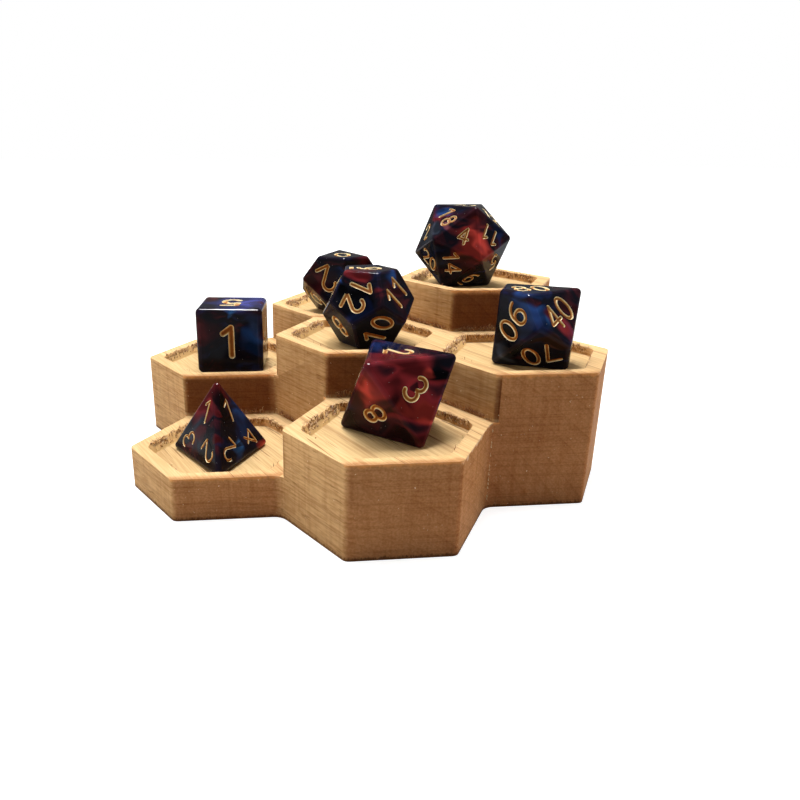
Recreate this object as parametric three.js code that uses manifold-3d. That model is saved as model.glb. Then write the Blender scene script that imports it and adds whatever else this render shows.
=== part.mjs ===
// A tiered display stand for a set of seven dice, carved from one block of pale maple.
// Seven hexagonal columns stand in a honeycomb and rise in four tiers. The top of each column is
// a shallow hexagonal tray with a narrow rim, and one die of the set lies loose in each tray.
// Millimetres, +Z up. The origin is on the table under the middle column, and -Y is the front.

import * as THREE from "three";
import { ConvexGeometry } from "three/addons/geometries/ConvexGeometry.js";
import { mergeVertices } from "three/addons/utils/BufferGeometryUtils.js";
import Module from "manifold-3d";

const wasm = await Module();
wasm.setup();

// Driving dimensions of the stand. The trays are sized round the widest die of the set.
const lowestTier = 9;
const tierStep = 9.7;
const trayDepth = 2;
const trayPlay = 3.35;
const trayCornerRadius = 3;
const rimWidth = 3.4;
const wallTrim = 0.5;
const outerCornerRadius = 1.5;
const innerCornerRadius = 3;

// Driving dimensions of the dice: the edge of the four-sided and the six-sided die, and for the
// others the distance from a face to the opposite face.
const d4Edge = 21.9;
const d6Edge = 16;
const d8Across = 16;
const d10Across = 15.8;
const d12Across = 17.2;
const d20Across = 19.7;
const edgeRound = 0.6;

// Clearances: a die lies this far above its tray's floor, and cuts run this far past a face.
const seatGap = 0.3;
const overrun = 1;

// A ten-sided die's height from its equator to a pole, as a share of its equator's radius.
const poleShare = 1.05;

// A four-sided die's middle is this share of its edge above the face it lies on.
const d4MiddleShare = 1 / Math.sqrt(24);

const arcSteps = 2;

// Corners and normals of a unit shape that differ by less than this share of it are one.
const sameShare = 1e-4;

// The corners of the six solids, each as a unit shape round the origin.
function cornersOf(geometry) {
  geometry.deleteAttribute("normal");
  geometry.deleteAttribute("uv");
  const position = mergeVertices(geometry, sameShare).getAttribute("position");
  return Array.from({ length: position.count }, (_, i) =>
    new THREE.Vector3().fromBufferAttribute(position, i));
}

// A pentagonal trapezohedron: two poles and a zigzag equator that makes its kites flat.
function tenSidedCorners() {
  const bend = Math.PI / 5;
  const zigzag = poleShare * Math.tan(bend / 2) ** 2;
  const equator = Array.from({ length: 10 }, (_, i) => new THREE.Vector3(
    Math.cos(bend * i), Math.sin(bend * i), i % 2 ? -zigzag : zigzag));
  return [...equator, new THREE.Vector3(0, 0, poleShare), new THREE.Vector3(0, 0, -poleShare)];
}

// The faces of a convex solid: each one's outward normal and its corners.
function facesOf(corners) {
  const hull = new ConvexGeometry(corners).getAttribute("position");
  const faces = [];
  for (let i = 0; i < hull.count; i += 3) {
    const [a, b, c] = [0, 1, 2].map((k) => new THREE.Vector3().fromBufferAttribute(hull, i + k));
    const normal = new THREE.Triangle(a, b, c).getNormal(new THREE.Vector3());
    if (faces.some((face) => face.normal.distanceTo(normal) < sameShare)) continue;
    const level = normal.dot(a);
    const own = corners.filter((corner) => Math.abs(normal.dot(corner) - level) < sameShare);
    faces.push({ normal, level, corners: own });
  }
  return faces;
}

// Turns a solid so that one face lies flat below, with that face's farthest corner towards +X.
function laidDown(corners) {
  const face = facesOf(corners)[0];
  const turn = new THREE.Quaternion().setFromUnitVectors(face.normal, new THREE.Vector3(0, 0, -1));
  const turned = corners.map((corner) => corner.clone().applyQuaternion(turn));
  const floor = Math.min(...turned.map((corner) => corner.z));
  const foot = turned.filter((corner) => corner.z - floor < sameShare);
  const reach = (corner) => Math.hypot(corner.x, corner.y);
  const tip = foot.reduce((best, corner) =>
    reach(corner) > reach(best) + sameShare ? corner : best);
  const yaw = new THREE.Quaternion().setFromAxisAngle(
    new THREE.Vector3(0, 0, 1), -Math.atan2(tip.y, tip.x));
  return turned.map((corner) => corner.applyQuaternion(yaw));
}

// A die with rounded edges and corners that stands on z = 0. Its faces touch a sphere of
// faceRadius. The corners of a smaller solid inside are pushed out along the face normals, the
// edge directions and the corner direction, so the flat faces stay where they were.
function dieGeometry(unitCorners, faceRadius) {
  const corners = laidDown(unitCorners);
  const faces = facesOf(corners);
  const scale = faceRadius / faces[0].level;
  const core = scale * (1 - edgeRound / faceRadius);
  const points = [];
  for (const corner of corners) {
    const around = faces.filter((face) => face.corners.includes(corner));
    const directions = around.map((face) => face.normal.clone());
    around.forEach((face, i) => around.slice(i + 1).forEach((other) => {
      const shared = face.corners.filter((own) => other.corners.includes(own));
      if (shared.length === 2) directions.push(face.normal.clone().add(other.normal));
    }));
    directions.push(around.reduce((sum, face) => sum.add(face.normal), new THREE.Vector3()));
    for (const direction of directions)
      points.push(direction.setLength(edgeRound).addScaledVector(corner, core));
  }
  return new ConvexGeometry(points).translate(0, 0, faceRadius);
}

// The dice. A turn is the bearing in degrees of the resting face's farthest corner. A place is a
// share of the room between the die's foot and the walls of its tray, to the right and back.
const tenSided = tenSidedCorners();
const DICE = {
  d4_die: {
    geometry: dieGeometry(cornersOf(new THREE.TetrahedronGeometry(1)), d4Edge * d4MiddleShare),
    turn: 30.8,
    placeShares: [-0.45, -0.8],
  },
  d6_die: {
    geometry: dieGeometry(cornersOf(new THREE.BoxGeometry(1, 1, 1)), d6Edge / 2),
    turn: 39.5,
    placeShares: [0.28, -0.76],
  },
  d8_die: {
    geometry: dieGeometry(cornersOf(new THREE.OctahedronGeometry(1)), d8Across / 2),
    turn: 46.4,
    placeShares: [0.54, 0.69],
  },
  d10_die: {
    geometry: dieGeometry(tenSided, d10Across / 2),
    turn: -92,
    placeShares: [-0.24, -0.68],
  },
  d12_die: {
    geometry: dieGeometry(cornersOf(new THREE.DodecahedronGeometry(1)), d12Across / 2),
    turn: 27.1,
    placeShares: [0.1, -0.29],
  },
  percentile_die: {
    geometry: dieGeometry(tenSided, d10Across / 2),
    turn: -179.5,
    placeShares: [0.34, -0.58],
  },
  d20_die: {
    geometry: dieGeometry(cornersOf(new THREE.IcosahedronGeometry(1)), d20Across / 2),
    turn: -21.5,
    placeShares: [-0.49, 0.21],
  },
};

// The farthest that a die reaches from its middle at or below the rim of its tray.
function footRadius(geometry) {
  const position = geometry.getAttribute("position");
  const reaches = Array.from({ length: position.count }, (_, i) =>
    position.getZ(i) < trayDepth ? Math.hypot(position.getX(i), position.getY(i)) : 0);
  return Math.max(...reaches);
}

// The honeycomb, worked out from the widest die.
const trayRadius = Math.max(...Object.values(DICE).map((die) => footRadius(die.geometry))) + trayPlay;
const pitch = 2 * (trayRadius + rimWidth);
const side = pitch / Math.sqrt(3);

// The columns, each with its die, its tier, and its place in the honeycomb: columns to the right
// of the middle, and half pitches back from it.
const COLUMNS = [
  { die: "d4_die", tier: 1, right: -1, back: -1 },
  { die: "d6_die", tier: 2, right: -1, back: 1 },
  { die: "d8_die", tier: 2, right: 0, back: -2 },
  { die: "d12_die", tier: 3, right: 0, back: 0 },
  { die: "d10_die", tier: 3, right: 0, back: 2 },
  { die: "percentile_die", tier: 3, right: 1, back: -1 },
  { die: "d20_die", tier: 4, right: 1, back: 1 },
];

// A hexagon's corners in half sides right and half pitches back, from +X and anticlockwise, and
// the honeycomb step to the neighbour across the edge that starts at each corner.
const HEX_CORNERS = [[2, 0], [1, 1], [-1, 1], [-2, 0], [-1, -1], [1, -1]];
const HEX_STEPS = [[1, 1], [0, 2], [-1, 1], [-1, -1], [0, -2], [1, -1]];

function gridCorner(column, i) {
  const [right, back] = HEX_CORNERS[i % HEX_CORNERS.length];
  return [3 * column.right + right, column.back + back];
}

function gridPoint([halfSides, halfPitches]) {
  return new THREE.Vector2((halfSides * side) / 2, (halfPitches * pitch) / 2);
}

// The corners of the outline round a group of columns, anticlockwise: the cell edges that no two
// columns of the group share, chained end to end.
function outlineCorners(columns) {
  const inGroup = (right, back) =>
    columns.some((column) => column.right === right && column.back === back);
  const next = new Map();
  for (const column of columns)
    HEX_STEPS.forEach(([right, back], i) => {
      if (inGroup(column.right + right, column.back + back)) return;
      next.set(String(gridCorner(column, i)), gridCorner(column, i + 1));
    });
  const chain = [next.values().next().value];
  while (chain.length < next.size) chain.push(next.get(String(chain.at(-1))));
  return chain.map(gridPoint);
}

// An outline drawn in from its corners by inset, with an arc at each corner. It turns by a sixth
// of a circle at every corner, to the left where it is convex and to the right where it is not.
function roundedShape(corners, inset, convexRadius, concaveRadius) {
  const shape = new THREE.Shape();
  const halfTurn = Math.PI / 6;
  corners.forEach((corner, i) => {
    const before = corner.clone().sub(corners.at(i - 1)).normalize();
    const after = corners[(i + 1) % corners.length].clone().sub(corner).normalize();
    const convex = before.cross(after) > 0;
    const radius = convex ? convexRadius : concaveRadius;
    const inward = new THREE.Vector2(-before.y - after.y, before.x + after.x).normalize();
    const drawnIn = corner.clone().addScaledVector(inward, inset / Math.cos(halfTurn));
    const toCentre = (convex ? radius : -radius) / Math.cos(halfTurn);
    const centre = drawnIn.addScaledVector(inward, toCentre);
    const bearing = Math.atan2(-inward.y, -inward.x) + (convex ? 0 : Math.PI);
    const sweep = convex ? halfTurn : -halfTurn;
    shape.absarc(centre.x, centre.y, radius, bearing - sweep, bearing + sweep, !convex);
  });
  shape.closePath();
  return shape;
}

function prism(shape, bottom, top) {
  const settings = { depth: top - bottom, bevelEnabled: false, curveSegments: arcSteps };
  return solidOf(new THREE.ExtrudeGeometry(shape, settings).translate(0, 0, bottom));
}

function solidOf(geometry) {
  geometry.deleteAttribute("normal");
  geometry.deleteAttribute("uv");
  const merged = mergeVertices(geometry);
  const vertProperties = merged.getAttribute("position").array;
  const triVerts = new Uint32Array(merged.index.array);
  return new wasm.Manifold(new wasm.Mesh({ numProp: 3, vertProperties, triVerts }));
}

function geometryOf(solid) {
  const { vertProperties, triVerts } = solid.getMesh();
  const geometry = new THREE.BufferGeometry();
  geometry.setAttribute("position", new THREE.BufferAttribute(vertProperties, 3));
  geometry.setIndex(new THREE.BufferAttribute(triVerts, 1));
  geometry.computeVertexNormals();
  return geometry;
}

function tierTop(tier) {
  return tier > 0 ? lowestTier + (tier - 1) * tierStep : 0;
}

// One tier: every column that reaches it, from the tier below up to its own top.
function tierSolid(tier) {
  const columns = COLUMNS.filter((column) => column.tier >= tier);
  const shape = roundedShape(outlineCorners(columns), wallTrim, outerCornerRadius, innerCornerRadius);
  return prism(shape, tierTop(tier - 1), tierTop(tier));
}

function traySolid(column) {
  const corners = HEX_CORNERS.map((_, i) => gridPoint(gridCorner(column, i)));
  const shape = roundedShape(corners, rimWidth, trayCornerRadius, trayCornerRadius);
  const top = tierTop(column.tier);
  return prism(shape, top - trayDepth, top + overrun);
}

function standMesh() {
  const tiers = [...new Set(COLUMNS.map((column) => column.tier))];
  const block = tiers.map(tierSolid).reduce((whole, tier) => whole.add(tier));
  const carved = COLUMNS.reduce((rest, column) => rest.subtract(traySolid(column)), block);
  const maple = new THREE.MeshStandardMaterial({ color: 0xd9b888, roughness: 0.75, metalness: 0 });
  const mesh = new THREE.Mesh(geometryOf(carved), maple);
  mesh.name = "stand_block";
  return mesh;
}

function dieMesh(column) {
  const { geometry, turn, placeShares } = DICE[column.die];
  const resin = new THREE.MeshStandardMaterial({ color: 0x2a1830, roughness: 0.15, metalness: 0 });
  const mesh = new THREE.Mesh(geometry, resin);
  const room = trayRadius - footRadius(geometry);
  const middle = gridPoint([3 * column.right, column.back]);
  const [rightShare, backShare] = placeShares;
  const seat = tierTop(column.tier) - trayDepth + seatGap;
  mesh.position.set(middle.x + rightShare * room, middle.y + backShare * room, seat);
  mesh.rotation.z = THREE.MathUtils.degToRad(turn);
  mesh.name = column.die;
  return mesh;
}

const displayStand = new THREE.Group();
displayStand.add(standMesh(), ...COLUMNS.map(dieMesh));

export default displayStand;
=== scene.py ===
"""A seven-dice display stand: a honeycomb block of pale maple, and a die in each of its trays."""

import math
from itertools import combinations

import bmesh
import bpy
import numpy as np
from mathutils import Matrix, Vector, geometry


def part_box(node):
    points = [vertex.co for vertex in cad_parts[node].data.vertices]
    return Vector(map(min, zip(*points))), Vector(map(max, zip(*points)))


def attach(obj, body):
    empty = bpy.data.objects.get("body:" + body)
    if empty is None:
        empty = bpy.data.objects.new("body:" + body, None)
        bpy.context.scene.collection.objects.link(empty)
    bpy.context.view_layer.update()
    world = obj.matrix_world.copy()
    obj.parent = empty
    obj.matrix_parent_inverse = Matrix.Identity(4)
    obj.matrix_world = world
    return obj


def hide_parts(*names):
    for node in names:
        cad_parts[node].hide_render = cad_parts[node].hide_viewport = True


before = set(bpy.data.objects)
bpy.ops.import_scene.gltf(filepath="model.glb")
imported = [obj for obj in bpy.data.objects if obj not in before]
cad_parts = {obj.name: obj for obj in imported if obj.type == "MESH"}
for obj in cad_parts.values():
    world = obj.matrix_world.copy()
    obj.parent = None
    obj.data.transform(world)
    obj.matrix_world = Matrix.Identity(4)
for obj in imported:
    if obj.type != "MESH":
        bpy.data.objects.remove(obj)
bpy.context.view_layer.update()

# The camera stands in front and a little to the left of the stand, and looks down on it by about
# 20 degrees. Its lens is a normal one, a little off centre, as the photograph was cropped.
MM = 0.001
CAMERA_PLACE = (-24.0, -166.1, 68.6)
CAMERA_RIGHT = (0.99256, -0.12108, 0.01274)
CAMERA_UP = (0.03083, 0.35121, 0.93579)
CAMERA_BACK = (-0.11778, -0.92843, 0.35233)

camera = bpy.data.objects.new("camera", bpy.data.cameras.new("camera"))
bpy.context.scene.collection.objects.link(camera)
camera.matrix_world = Matrix.Translation(Vector(CAMERA_PLACE) * MM) @ Matrix(
    (CAMERA_RIGHT, CAMERA_UP, CAMERA_BACK)).transposed().to_4x4()
camera.data.lens = 32.76
camera.data.sensor_width = 36
camera.data.shift_x = 0.0637
camera.data.shift_y = 0.0306
camera.data.clip_start = 0.005
bpy.context.scene.camera = camera
bpy.context.scene.view_settings.view_transform = "Standard"


# A photographer's table: a white sheet that runs on to the horizon, one wide lamp overhead and
# behind, and weaker ones at the sides. The front gets only what the sheet throws back.
def put(tree, kind, *inputs, **settings):
    """Adds a node. An input is a socket to join, a value to set, or None to leave it alone."""
    node = tree.nodes.new("ShaderNode" + kind)
    for name, value in settings.items():
        setattr(node, name, value)
    for socket, value in zip(node.inputs, inputs):
        if isinstance(value, bpy.types.NodeSocket):
            tree.links.new(value, socket)
        elif value is not None:
            socket.default_value = value
    return node


def calc(tree, operation, *values):
    """A sum worked out by a Math node."""
    return put(tree, "Math", *values, operation=operation).outputs[0]


def times(tree, *values):
    """The product of all the values."""
    product = values[0]
    for value in values[1:]:
        product = calc(tree, "MULTIPLY", product, value)
    return product


def fade(tree, value, low, high, start=0.0, end=1.0):
    """A value that goes smoothly from start at low to end at high."""
    return put(tree, "MapRange", value, low, high, start, end,
               interpolation_type="SMOOTHSTEP").outputs[0]


def vector_calc(tree, operation, *values):
    """A vector worked out by a Vector Math node."""
    return put(tree, "VectorMath", *values, operation=operation).outputs[0]


def vector_size(tree, operation, *values):
    """A length, a distance or a product of vectors, worked out by a Vector Math node."""
    return put(tree, "VectorMath", *values, operation=operation).outputs["Value"]


def tint(tree, share, under, over, blend="MIX"):
    """One colour laid over another by a share from 0 to 1."""
    mix = put(tree, "Mix", data_type="RGBA", blend_type=blend)
    for index, value in ((0, share), (6, under), (7, over)):
        if isinstance(value, bpy.types.NodeSocket):
            tree.links.new(value, mix.inputs[index])
        else:
            mix.inputs[index].default_value = value if index == 0 else (*value, 1)
    return mix.outputs[2]


def lamp(name, place, size, power, lights=True, mirrored=False):
    """A square area lamp at place, turned towards the stand. It lights what it falls on, or is
    mirrored in what is polished, or both."""
    light = bpy.data.lights.new(name, "AREA")
    light.shape = "SQUARE"
    light.size = size
    light.energy = power
    holder = bpy.data.objects.new(name, light)
    holder.location = place
    aim = Vector(LAMP_TARGET) - Vector(place)
    holder.rotation_euler = aim.to_track_quat("-Z", "Y").to_euler()
    holder.visible_diffuse = lights
    holder.visible_glossy = mirrored
    bpy.context.scene.collection.objects.link(holder)


LAMP_TARGET = (0, 0, 0.02)
lamp("overhead_lamp", (-0.12, 0.26, 0.68), 0.60, 7.4)
lamp("spot_lamp", (-0.02, 0.08, 0.70), 0.14, 2.0)
lamp("highlight_lamp", (-0.02, 0.08, 0.70), 0.24, 44.0, lights=False, mirrored=True)
lamp("left_lamp", (-0.64, -0.08, 0.28), 0.35, 1.38)
lamp("right_lamp", (0.60, 0.02, 0.25), 0.35, 1.8)

SHEET_REACH = 4.0
SHEET_NEAR = 0.25
SHEET_FAR = 0.9
SHEET_GLOW = 0.84
SHEET_MIRRORED = 0.25
SHEET_PAPER = 0.46
SKY_LEVEL = 0.14
sheet_mesh = bpy.data.meshes.new("sheet")
sheet_mesh.from_pydata(
    [(x * SHEET_REACH, y * SHEET_REACH, 0) for x, y in ((-1, -1), (1, -1), (1, 1), (-1, 1))],
    [], [(0, 1, 2, 3)])
sheet = bpy.data.objects.new("sheet", sheet_mesh)
bpy.context.scene.collection.objects.link(sheet)
white_sheet = bpy.data.materials.new("white_sheet")
white_sheet.use_nodes = True
tree = white_sheet.node_tree
tree.nodes.clear()
ray = put(tree, "LightPath")
in_dice = times(tree, ray.outputs["Is Glossy Ray"], SHEET_MIRRORED)
seen = calc(tree, "MAXIMUM", ray.outputs["Is Camera Ray"], in_dice)
paper = put(tree, "BsdfDiffuse", (SHEET_PAPER, SHEET_PAPER, SHEET_PAPER, 1))
away = vector_size(tree, "LENGTH", put(tree, "TexCoord").outputs["Object"])
level = fade(tree, away, SHEET_NEAR, SHEET_FAR, SHEET_GLOW, 1.0)
glow = put(tree, "Emission", (1, 1, 1, 1), times(tree, seen, level))
both = put(tree, "AddShader", paper.outputs[0], glow.outputs[0])
put(tree, "OutputMaterial", both.outputs[0])
sheet_mesh.materials.append(white_sheet)

world = bpy.data.worlds.new("studio")
bpy.context.scene.world = world
world.use_nodes = True
tree = world.node_tree
ray = put(tree, "LightPath")
level = put(tree, "MapRange", ray.outputs["Is Camera Ray"], 0.0, 1.0, SKY_LEVEL, 1.0)
tree.links.new(level.outputs[0], tree.nodes["Background"].inputs["Strength"])
tree.nodes["Background"].inputs["Color"].default_value = (1, 1, 1, 1)


# The block is one piece of pale maple, milled to seven columns in four steps, with a shallow tray
# in the top of each. The cutter left narrow rims, and the edges are broken with sandpaper. Each
# column is given by its steps right and its half steps back in the honeycomb, and its tier.
COLUMNS = ((-1, -1, 0), (-1, 1, 1), (0, -2, 1), (0, 0, 2), (0, 2, 2), (1, -1, 2), (1, 1, 3))
TIER_TOPS = np.array([9.0, 18.7, 28.4, 38.1])
TRAY_DEPTH = 2.0
FLOOR_LIFT = 0.25
RIM_WIDTH = 3.4
OUTER_TRIM = 0.5
EDGE_BREAK = 0.42
BREAK_ANGLE = 40
MERGE_REACH = 2e-6
LEVEL_SLACK = 0.05
LEAST_WALL = 0.5
NO_FOOT = -10
TORN_BEARING = 150
TORN_LEAN = 1.6
TORN_FROM = 0.84
TORN_OVER = 0.06


def piece_from(name, mesh, body, slot, *nodes):
    """Puts a finished mesh on its body, in the place of the CAD nodes it stands for."""
    piece = bpy.data.objects.new(name, mesh)
    bpy.context.scene.collection.objects.link(piece)
    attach(piece, body)
    if nodes:
        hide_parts(*nodes)
    return piece


def towards(bearing):
    """The unit vector at a bearing in degrees, from its cosine and its sine."""
    return np.array([math.cos(math.radians(bearing)), math.sin(math.radians(bearing))])


def column_middle(right, back):
    """The middle of a column in the honeycomb: its steps right times one and a half sides, and
    its half steps back times half the pitch."""
    return np.array([1.5 * SIDE * right, PITCH / 2 * back])


stand_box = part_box("stand_block")
PITCH = (stand_box[1].y - stand_box[0].y + 2 * OUTER_TRIM * MM) / MM / 3
SIDE = PITCH / math.sqrt(3)
TRAY_RADIUS = PITCH / 2 - RIM_WIDTH
torn_way = towards(TORN_BEARING)

block = bmesh.new()
block.from_mesh(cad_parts["stand_block"].data)
bmesh.ops.remove_doubles(block, verts=block.verts, dist=MERGE_REACH)
bmesh.ops.dissolve_limit(block, angle_limit=math.radians(1), verts=block.verts, edges=block.edges)
on_floor = [vertex for vertex in block.verts
            if np.abs(vertex.co.z / MM - (TIER_TOPS - TRAY_DEPTH)).min() < LEVEL_SLACK]
middles = np.array([column_middle(right, back) for right, back, _ in COLUMNS])
for vertex in on_floor:
    offsets = np.array(vertex.co.xy) / MM - middles
    offset = offsets[np.argmin(np.linalg.norm(offsets, axis=1))]
    torn = offset @ torn_way / np.linalg.norm(offset)
    torn = np.clip((torn - TORN_FROM) / TORN_OVER, 0, 1)
    vertex.co.xy -= Vector(torn_way * torn * TORN_LEAN * MM)
    vertex.co.z += FLOOR_LIFT * MM
wall_top = block.loops.layers.float.new("wall_top")
wall_foot = block.loops.layers.float.new("wall_foot")
for face in block.faces:
    heights = [loop.vert.co.z / MM for loop in face.loops]
    level = TIER_TOPS[np.searchsorted(TIER_TOPS, max(heights) - LEVEL_SLACK)]
    upright = max(heights) - min(heights) > LEAST_WALL
    for loop in face.loops:
        loop[wall_top] = level
        loop[wall_foot] = min(heights) if upright else NO_FOOT
    face.smooth = True
block_mesh = bpy.data.meshes.new("maple_block")
block.to_mesh(block_mesh)
block.free()
maple_block = piece_from("maple_block", block_mesh, "stand", "maple", "stand_block")
broken = maple_block.modifiers.new("broken_edges", "BEVEL")
broken.width = EDGE_BREAK * MM
broken.segments = 3
broken.limit_method = "ANGLE"
broken.angle_limit = math.radians(BREAK_ANGLE)
broken.harden_normals = True

# Maple's look comes from its growth rings. They lie round an axis that runs along the grain, well
# below the block's left side, so long grain shows fine streaks and end grain is browner. The
# cutter scorched and tore the grain along the back walls of the trays.
GRAIN_BEARING = -66.0
RING_SHIFT = (0.0, 50.0, 48.0)
RING_WIDTH = 3.7
FINE_RINGS = 4.0
LONG_GRAIN = (0.78, 0.54, 0.27)
END_GRAIN = (0.62, 0.30, 0.13)
SIDE_SHADE = (0.98, 0.88, 0.80)
LATE_WOOD = (0.45, 0.27, 0.14)
STREAK = (0.62, 0.46, 0.30)
PORE = (0.34, 0.19, 0.09)
FLECK = (0.42, 0.24, 0.12)
MOTTLE = (0.62, 0.46, 0.34)
CLOUD = (0.74, 0.62, 0.48)
CUTTER_LINE = (0.60, 0.48, 0.38)
BAND = (0.66, 0.54, 0.44)
SCORCH_AND_SHADE = (0.15, 0.055, 0.018)
SINGED = (0.52, 0.265, 0.09)
LIP_HIGHLIGHT = (0.95, 0.42, 0.12)
CHIPS_AND_HIGHLIGHT = (0.95, 0.76, 0.48)
TRAY_WALL = (0.78, 0.49, 0.20)
TRAY_FLOOR = (0.90, 0.93, 0.92)
RIM_WEAR_AND_SHADE = (0.72, 0.55, 0.45)
INNER_WALL_SHADE = (0.20, 0.105, 0.038)
FOOT_SHADE = (0.26, 0.11, 0.035)
SPECK = (0.90, 0.68, 0.40)
RIM_WEAR_AND_SHADE_REACH = (-15.6, -17.4)
FRONT_EDGE = (-17.0, -17.4)
RIGHT_EDGE = (17.2, 17.6)


def new_material(name):
    """A material, its tree and its shader."""
    material = bpy.data.materials.new(name)
    material.use_nodes = True
    return material, material.node_tree, material.node_tree.nodes["Principled BSDF"]


def new_group(name, inputs, outputs):
    """A node group, what comes in and what goes out. Sockets are given by name and kind."""
    group = bpy.data.node_groups.new(name, "ShaderNodeTree")
    for side, sockets in (("INPUT", inputs), ("OUTPUT", outputs)):
        for label, kind in sockets.items():
            group.interface.new_socket(label, in_out=side, socket_type=f"NodeSocket{kind}")
    start, end = group.nodes.new("NodeGroupInput"), group.nodes.new("NodeGroupOutput")
    return group, start.outputs, end.inputs


def place_in_mm(tree, shift=(0, 0, 0), turn=0.0):
    """The place on the object in millimetres, turned about the upright axis, then shifted."""
    place = put(tree, "TexCoord").outputs["Object"]
    return put(tree, "Mapping", place, shift, (0, 0, turn), (1 / MM, 1 / MM, 1 / MM)).outputs[0]


def mark(tree, name):
    """A value that the mesh itself carries."""
    return put(tree, "Attribute", attribute_name=name).outputs["Fac"]


def noise(tree, vector, stretch, scale=1.0, detail=2.0, roughness=0.5):
    """Noise on coordinates that are squeezed by stretch, from 0 to 1."""
    squeezed = vector_calc(tree, "MULTIPLY", vector, stretch)
    return put(tree, "TexNoise", squeezed, None, scale, detail, roughness).outputs[0]


def off_centre(tree, value, strength):
    """A value around a half, made a swing around 0."""
    return times(tree, calc(tree, "SUBTRACT", value, 0.5), strength)


def roughen(tree, shader, height, strength, reach):
    """Tilts a shader's surface as if it rose and fell with height, by reach in millimetres."""
    surface = put(tree, "Bump", strength, reach * MM)
    tree.links.new(height, surface.inputs["Height"])
    tree.links.new(surface.outputs[0], shader.inputs["Normal"])


def honeycomb():
    """A group that gives, for a place on the stand, the distance from the tray's wall in the
    nearest column, less than 0 inside it, and how far back and right of its middle the place is.
    Of two square grids of columns, shifted by half a step, it takes the nearer one's middle."""
    group, start, end = new_group(
        "honeycomb", {"Place in mm": "Vector"},
        {"Past wall": "Float", "Backward": "Float", "Sideways": "Float"})
    step = (3 * SIDE, PITCH, 1)
    offsets = []
    for shift in ((0, 0, 0), (1.5 * SIDE, PITCH / 2, 0)):
        moved = vector_calc(group, "SUBTRACT", start[0], shift)
        cell = vector_calc(group, "DIVIDE", moved, step)
        cell = vector_calc(group, "FLOOR", vector_calc(group, "ADD", cell, (0.5, 0.5, 0)))
        offset = vector_calc(group, "SUBTRACT", moved, vector_calc(group, "MULTIPLY", cell, step))
        offsets.append(vector_calc(group, "MULTIPLY", offset, (1, 1, 0)))
    lengths = [vector_size(group, "LENGTH", offset) for offset in offsets]
    nearest = put(group, "Mix", data_type="VECTOR")
    group.links.new(calc(group, "GREATER_THAN", *lengths), nearest.inputs[0])
    group.links.new(offsets[0], nearest.inputs[4])
    group.links.new(offsets[1], nearest.inputs[5])
    nearest = nearest.outputs[1]
    reach = 0.0
    for bearing in (30, 90, 150):
        across = vector_size(group, "DOT_PRODUCT", nearest, (*towards(bearing), 0))
        reach = calc(group, "MAXIMUM", reach, calc(group, "ABSOLUTE", across))
    group.links.new(calc(group, "SUBTRACT", reach, TRAY_RADIUS), end[0])
    sideways, backward, _ = put(group, "SeparateXYZ", nearest).outputs
    group.links.new(backward, end[1])
    group.links.new(sideways, end[2])
    return group


maple, tree, shader = new_material("maple")
shader.inputs["Specular IOR Level"].default_value = 0.04
in_mm = place_in_mm(tree)
grain = place_in_mm(tree, RING_SHIFT, math.radians(-GRAIN_BEARING))
radius = vector_size(tree, "LENGTH", vector_calc(tree, "MULTIPLY", grain, (0, 1, 1)))
wander = off_centre(tree, noise(tree, grain, (0.010, 0.035, 0.035)), 6.0)
ring = calc(tree, "DIVIDE", calc(tree, "ADD", radius, wander), RING_WIDTH)
ring_share = calc(tree, "FRACT", ring)
ring_edge = calc(tree, "POWER", ring_share, 5.0)
ring_ease = fade(tree, ring_share, 1.0, 0.94)
ring_weight = fade(tree, noise(tree, grain, (0.01, 0.09, 0.09)), 0.35, 0.65, 0.25, 1.0)
fine_share = calc(tree, "FRACT", times(tree, ring, FINE_RINGS))
fine_edge = calc(tree, "POWER", fine_share, 4.0)
fine_ease = fade(tree, fine_share, 1.0, 0.9)
streaks = noise(tree, grain, (0.10, 2.6, 2.6), detail=3.0)
pores = fade(tree, noise(tree, grain, (0.07, 2.0, 2.0), detail=1.0), 0.66, 0.74)
flecks = fade(tree, noise(tree, grain, (0.9, 1.1, 2.6)), 0.68, 0.76)
cloud = off_centre(tree, noise(tree, in_mm, (0.05, 0.05, 0.03), detail=3.0), 1.0)
mottle = noise(tree, in_mm, (0.55, 0.55, 0.14), detail=3.0, roughness=0.6)
cutter_lines = fade(tree, noise(tree, in_mm, (0.05, 0.05, 2.3)), 0.48, 0.66)
bands = fade(tree, noise(tree, in_mm, (0.9, 0.9, 0.03)), 0.52, 0.66)

normal = put(tree, "TexCoord").outputs["Normal"]
facing = put(tree, "SeparateXYZ", normal).outputs
end_share = vector_size(tree, "DOT_PRODUCT", normal, (*towards(GRAIN_BEARING), 0))
end_share = calc(tree, "POWER", calc(tree, "ABSOLUTE", end_share), 1.6)
level_share = calc(tree, "ABSOLUTE", facing[2])
upward = fade(tree, level_share, 0.2, 0.8)
side_share = calc(tree, "SUBTRACT", 1.0, upward)
ring_depth = fade(tree, upward, 0, 1, 0.34, 0.75)
pore_depth = calc(tree, "SUBTRACT", fade(tree, side_share, 0, 1, 0.7, 0.42),
                  times(tree, end_share, 0.4))

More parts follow.
